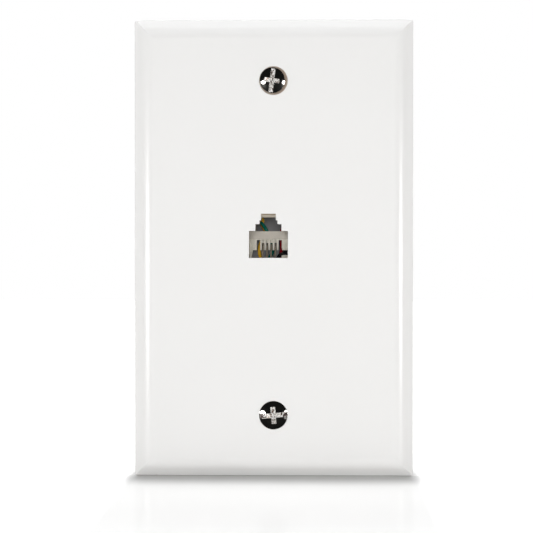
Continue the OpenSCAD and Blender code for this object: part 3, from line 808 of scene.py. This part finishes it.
# %% Make them round
def rounded_wire(node, name, finish, levels):
    piece = merged_copy(node, name)
    if node == "lead_yellow":
        tuck_behind(piece, TUCK)
    bpy.ops.object.mode_set(mode="EDIT")
    bpy.ops.mesh.select_all(action="SELECT")
    bpy.ops.mesh.tris_convert_to_quads(face_threshold=math.radians(35), shape_threshold=math.radians(60))
    bpy.ops.object.mode_set(mode="OBJECT")
    rounder = piece.modifiers.new("round_section", "SUBSURF")
    rounder.levels = levels
    rounder.render_levels = levels
    bpy.ops.object.modifier_apply(modifier=rounder.name)
    bpy.ops.object.shade_smooth()
    dress(piece, finish)
    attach(piece, "root")
    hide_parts(node)
    return piece


for circuit in CIRCUITS:
    lead = rounded_wire("lead_" + circuit, "round_lead_" + circuit, insulation[circuit], 2)
    wire = rounded_wire("contact_" + circuit, "round_contact_" + circuit, wire_finish, 1)
    print(circuit, "lead faces:", len(lead.data.polygons), "wire faces:", len(wire.data.polygons))

# %% [markdown]
# ## Threads on the mounting screws
#
# The CAD screw has a plain shank of the thread's outer diameter. A real 6-32 screw has a thread with a pitch
# of 0.794 mm. A thread could be a bump, but it shows in outline from the back, so it is modelled: one notch of
# the thread's section is wound up by a Screw modifier, the two ends are cut square with bisect, and the tip is
# chamfered. The head and neck are the CAD's own, cut off 0.3 mm short of the thread.

# %% Wind the thread
PITCH = 25.4 / 32 * MM
THREAD_RADIUS = 1.75 * MM
ROOT_RADIUS = 1.31 * MM
THREAD_START = -0.1 * MM
TIP = 13.4 * MM
CUT = 0.001 * MM


def notch():
    """One pitch of the thread's section, as radius and height."""
    flat = PITCH / 8
    crest_start = PITCH / 2 - flat / 2
    crest_end = PITCH / 2 + flat / 2
    return [(ROOT_RADIUS, 0.0), (ROOT_RADIUS, flat), (THREAD_RADIUS, crest_start), (THREAD_RADIUS, crest_end),
        (ROOT_RADIUS, PITCH)]


def wound_section(name):
    """The notch wound around Z, a few turns longer than the thread."""
    section = notch()
    mesh = bpy.data.meshes.new(name)
    mesh.from_pydata([(r, 0, z) for r, z in section], [(k, k + 1) for k in range(len(section) - 1)], [])
    rod = bpy.data.objects.new(name, mesh)
    bpy.context.scene.collection.objects.link(rod)
    select_only(rod)
    winder = rod.modifiers.new("wind", "SCREW")
    winder.angle = 2 * math.pi
    winder.screw_offset = PITCH
    winder.iterations = math.ceil((TIP - THREAD_START) / PITCH) + 3
    winder.steps = 32
    winder.render_steps = 32
    winder.use_merge_vertices = True
    bpy.ops.object.modifier_apply(modifier=winder.name)
    return rod


print("pitch in mm:", round(PITCH / MM, 3))

# %% Cut it to length and chamfer the tip
CHAMFER_LENGTH = 0.7 * MM
TIP_RADIUS = 1.2 * MM


def chamfer_tip(rod, height):
    for corner in rod.data.vertices:
        left = (TIP - corner.co.y) / CHAMFER_LENGTH
        if left < 1:
            limit = TIP_RADIUS + (THREAD_RADIUS - TIP_RADIUS) * left
            reach = math.hypot(corner.co.x, corner.co.z - height)
            if reach > limit:
                corner.co.x *= limit / reach
                corner.co.z = height + (corner.co.z - height) * limit / reach


def threaded_rod(name, height):
    """A rod along Y with a helical thread, from THREAD_START to TIP, around x = 0 and z = height."""
    rod = wound_section(name)
    for corner in rod.data.vertices:
        x, y, z = corner.co
        corner.co = (x, THREAD_START - 1.5 * PITCH + z, height + y)
    bpy.ops.object.mode_set(mode="EDIT")
    bpy.ops.mesh.select_all(action="SELECT")
    bpy.ops.mesh.remove_doubles(threshold=WELD)
    for level, keep in ((THREAD_START, 1), (TIP, -1)):
        bpy.ops.mesh.select_all(action="SELECT")
        bpy.ops.mesh.bisect(
            plane_co=(0, level, height), plane_no=(0, -keep, 0), use_fill=True, clear_outer=True, threshold=CUT)
    bpy.ops.mesh.select_all(action="SELECT")
    bpy.ops.mesh.normals_make_consistent(inside=False)
    bpy.ops.object.mode_set(mode="OBJECT")
    chamfer_tip(rod, height)
    return rod


print("thread length in mm:", round((TIP - THREAD_START) / MM, 1))

# %% [markdown]
# In the photograph the top screw sits a little askew: its head is off centre and tilted in its countersink,
# and its slot is turned. The CAD's head could be turned as a whole, but the piece has to keep its shank in
# place, so only the corners of the head are moved here, and drawn in a little so that they stay in the hole.

# %% The head that sits askew
TILT = Euler((math.radians(3.2), 0, math.radians(-2.0))).to_matrix()
ASKEW = TILT @ Matrix.Rotation(math.radians(20), 3, "Y")
SMALLER = 0.905
LEANING = Vector((-0.93, 0, 0.35))
HEAD_DEPTH = 1.9 * MM
CONE_SLOPE = 0.87


def askew(point, height, cone_radius):
    """Where a point of the head goes when the head sits off centre and a little tilted in its countersink."""
    pivot = Vector((0, FACE + 0.8 * MM, height))
    return pivot + ASKEW @ (point - pivot) * SMALLER + LEANING * (1 - SMALLER) * cone_radius


def set_askew(piece, height):
    for corner in piece.data.vertices:
        if corner.co.y < FACE + HEAD_DEPTH:
            cone_radius = HEAD_RADIUS - CONE_SLOPE * max(corner.co.y - FACE, 0)
            corner.co = askew(corner.co, height, cone_radius)


print("the head is drawn at", SMALLER, "of its size")

# %% Put heads and threads together
NECK_END = THREAD_START - 0.3 * MM
SLOT_END_SHADE = 0.9


def mounting_screw(node, name, tilted):
    low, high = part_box(node)
    height = (low.z + high.z) / 2
    piece = merged_copy(node, name)
    middle = Vector((0, FACE - DOME_HEIGHT + BALL, height))
    if tilted:
        set_askew(piece, height)
        middle = askew(middle, height, HEAD_RADIUS)
        finish = nickel_finish("bright_nickel_" + name, middle, BALL * SMALLER, 0.0)
    else:
        finish = nickel_finish("bright_nickel_" + name, middle, BALL, SLOT_END_SHADE)
    bpy.ops.object.mode_set(mode="EDIT")
    bpy.ops.mesh.select_all(action="SELECT")
    bpy.ops.mesh.bisect(
        plane_co=(0, NECK_END, 0), plane_no=(0, 1, 0), use_fill=True, clear_outer=True, threshold=CUT)
    bpy.ops.object.mode_set(mode="OBJECT")
    rod = threaded_rod(name + "_thread", height)
    bpy.ops.object.select_all(action="DESELECT")
    rod.select_set(True)
    piece.select_set(True)
    bpy.context.view_layer.objects.active = piece
    bpy.ops.object.join()
    bpy.ops.object.shade_smooth_by_angle(angle=math.radians(28))
    dress(piece, finish)
    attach(piece, "root")
    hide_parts(node)
    print(name, "faces:", len(piece.data.polygons), "centre height in mm:", round(height / MM, 2))


mounting_screw("mounting_screw_top", "threaded_screw_top", True)
mounting_screw("mounting_screw_bottom", "threaded_screw_bottom", False)

# %% [markdown]
# ## Dress the CAD parts
#
# The other CAD nodes keep their shapes. Each gets its finish in its own material slot.

# %% Give each node its finish
dress(frame["nodes"]["wall_plate"], plate_finish)
dress(frame["nodes"]["jack_insert"], insert_finish)
dress(frame["nodes"]["rear_cover"], cover_finish)
for circuit in CIRCUITS:
    dress(frame["nodes"]["ferrule_" + circuit], tin_finish)
    dress(frame["nodes"]["spade_" + circuit], tin_finish)
    dress(frame["nodes"]["terminal_washer_" + circuit], brass[circuit])
    dress(frame["nodes"]["terminal_screw_" + circuit], brass[circuit])
print("dressed nodes:", 3 + 4 * len(CIRCUITS))
